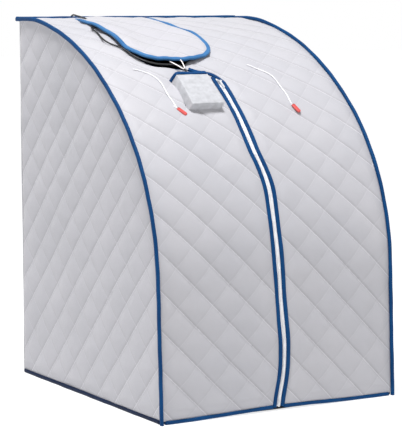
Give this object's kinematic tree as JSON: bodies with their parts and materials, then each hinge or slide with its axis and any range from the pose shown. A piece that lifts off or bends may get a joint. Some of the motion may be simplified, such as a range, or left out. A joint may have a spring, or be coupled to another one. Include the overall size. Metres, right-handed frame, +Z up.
{
  "type": "portable steam sauna",
  "caption": "Upright fabric sauna cabin with a curved zipped front, neck opening and flap, arm holes, control pocket and hose port on a pole frame.",
  "frame": {"origin": "centre of the footprint on the floor, without the lead", "axes": "+X to the right seen from the front, front faces -Y, +Z up"},
  "size_m": [0.7, 0.8811, 0.9907],
  "materials": {
    "quilted_cloth": "silver-grey quilted polyester, diamond stitched",
    "floor_cloth": "coated floor cloth",
    "blue_binding": "blue woven bias binding",
    "zip_tape": "white zip tape and coil",
    "zip_metal": "plated zip metal",
    "red_pull": "moulded red zip pull",
    "pole_steel": "powder coated tube",
    "ferrule_steel": "plated joining tube",
    "connector_plastic": "moulded corner connectors",
    "circuit_board": "circuit board",
    "display_window": "dark display window",
    "controller_plastic": "white moulded shell",
    "button_rubber": "soft buttons",
    "port_plastic": "white moulded port",
    "lead_black": "black sheathed lead",
    "white_cord": "white drawstring"
  },
  "bodies": {
    "cabin": {"arch_ferrules": "ferrule_steel", "arm_zip_left": "zip_tape", "arm_zip_right": "zip_tape", "base_corner_connectors": "connector_plastic", "base_hem": "blue_binding", "control_pocket": "quilted_cloth", "controller_back_shell": "controller_plastic", "controller_board": "circuit_board", "controller_display": "display_window", "controller_front_shell": "controller_plastic", "floor_mat": "floor_cloth", "front_base_rail": "pole_steel", "lead_coil": "lead_black", "lead_gland": "lead_black", "lead_plug": "lead_black", "lead_tube": "lead_black", "left_arch_binding": "blue_binding", "left_arch_lower_pole": "pole_steel", "left_arch_upper_pole": "pole_steel", "left_base_rail": "pole_steel", "left_rear_post": "pole_steel", "left_side_panel": "quilted_cloth", "neck_drawstring": "white_cord", "neck_opening_binding": "blue_binding", "pocket_rim_binding": "blue_binding", "rear_base_rail": "pole_steel", "rear_panel": "quilted_cloth", "rear_top_binding": "blue_binding", "rear_top_rail": "pole_steel", "right_arch_binding": "blue_binding", "right_arch_lower_pole": "pole_steel", "right_arch_upper_pole": "pole_steel", "right_base_rail": "pole_steel", "right_rear_post": "pole_steel", "right_side_panel": "quilted_cloth", "roof_panel": "quilted_cloth", "steam_port_flange": "port_plastic", "steam_port_nut": "port_plastic", "top_corner_connectors": "connector_plastic", "upper_zip_bindings": "blue_binding", "upper_zip_tape": "zip_tape"},
    "left_door": {"left_door_hem": "blue_binding", "left_door_panel": "quilted_cloth", "left_door_zip_binding": "blue_binding", "left_door_zip_tape": "zip_tape"},
    "right_door": {"right_door_hem": "blue_binding", "right_door_panel": "quilted_cloth", "right_door_zip_binding": "blue_binding", "right_door_zip_tape": "zip_tape"},
    "neck_flap": {"neck_flap": "quilted_cloth", "neck_flap_binding": "blue_binding"},
    "main_zip_slider": {"main_zip_slider": "zip_metal"},
    "main_zip_pull": {"main_zip_pull": "zip_metal"},
    "arm_slider_left": {"arm_slider_left": "zip_metal"},
    "arm_pull_left": {"arm_pull_left": "red_pull"},
    "arm_slider_right": {"arm_slider_right": "zip_metal"},
    "arm_pull_right": {"arm_pull_right": "red_pull"},
    "button_power": {"button_power": "button_rubber"},
    "button_heat": {"button_heat": "button_rubber"},
    "button_timer": {"button_timer": "button_rubber"}
  },
  "joints": [
    {"name": "left_door_swing", "type": "hinge", "parent": "cabin", "child": "left_door", "pos_m": [-0.3377, -0.39399, 0], "axis": [0, -0.0436, -0.999], "range_deg": [0, 60]},
    {"name": "right_door_swing", "type": "hinge", "parent": "cabin", "child": "right_door", "pos_m": [0.3377, -0.39399, 0], "axis": [0, 0.0436, 0.999], "range_deg": [0, 60]},
    {"name": "neck_flap_lift", "type": "hinge", "parent": "cabin", "child": "neck_flap", "pos_m": [0, 0.3877, 0.9808], "axis": [-1, 0, 0], "range_deg": [0, 180]},
    {"name": "main_zip_run", "type": "hinge", "parent": "cabin", "child": "main_zip_slider", "pos_m": [0, 0.37, 0.15576], "axis": [1, 0, 0], "range_deg": [0, 9]},
    {"name": "main_zip_pull_lift", "type": "hinge", "parent": "main_zip_slider", "child": "main_zip_pull", "pos_m": [0, -0.09066, 0.8349], "axis": [-1, 0, 0], "range_deg": [0, 120]},
    {"name": "arm_zip_run_left", "type": "hinge", "parent": "cabin", "child": "arm_slider_left", "pos_m": [0, 0.37, 0.15576], "axis": [-1, 0, 0], "range_deg": [0, 4.3]},
    {"name": "arm_pull_lift_left", "type": "hinge", "parent": "arm_slider_left", "child": "arm_pull_left", "pos_m": [-0.187, -0.19664, 0.75212], "axis": [-1, 0, 0], "range_deg": [0, 110]},
    {"name": "arm_zip_run_right", "type": "hinge", "parent": "cabin", "child": "arm_slider_right", "pos_m": [0, 0.37, 0.15576], "axis": [-1, 0, 0], "range_deg": [0, 4.3]},
    {"name": "arm_pull_lift_right", "type": "hinge", "parent": "arm_slider_right", "child": "arm_pull_right", "pos_m": [0.16, -0.19664, 0.75212], "axis": [-1, 0, 0], "range_deg": [0, 110]},
    {"name": "press_power", "type": "slide", "parent": "cabin", "child": "button_power", "axis": [0, 0.6396, -0.7687], "range_m": [0, 0.0008], "stiffness_N_per_m": 900},
    {"name": "press_heat", "type": "slide", "parent": "cabin", "child": "button_heat", "axis": [0, 0.6396, -0.7687], "range_m": [0, 0.0008], "stiffness_N_per_m": 900},
    {"name": "press_timer", "type": "slide", "parent": "cabin", "child": "button_timer", "axis": [0, 0.6396, -0.7687], "range_m": [0, 0.0008], "stiffness_N_per_m": 900}
  ]
}
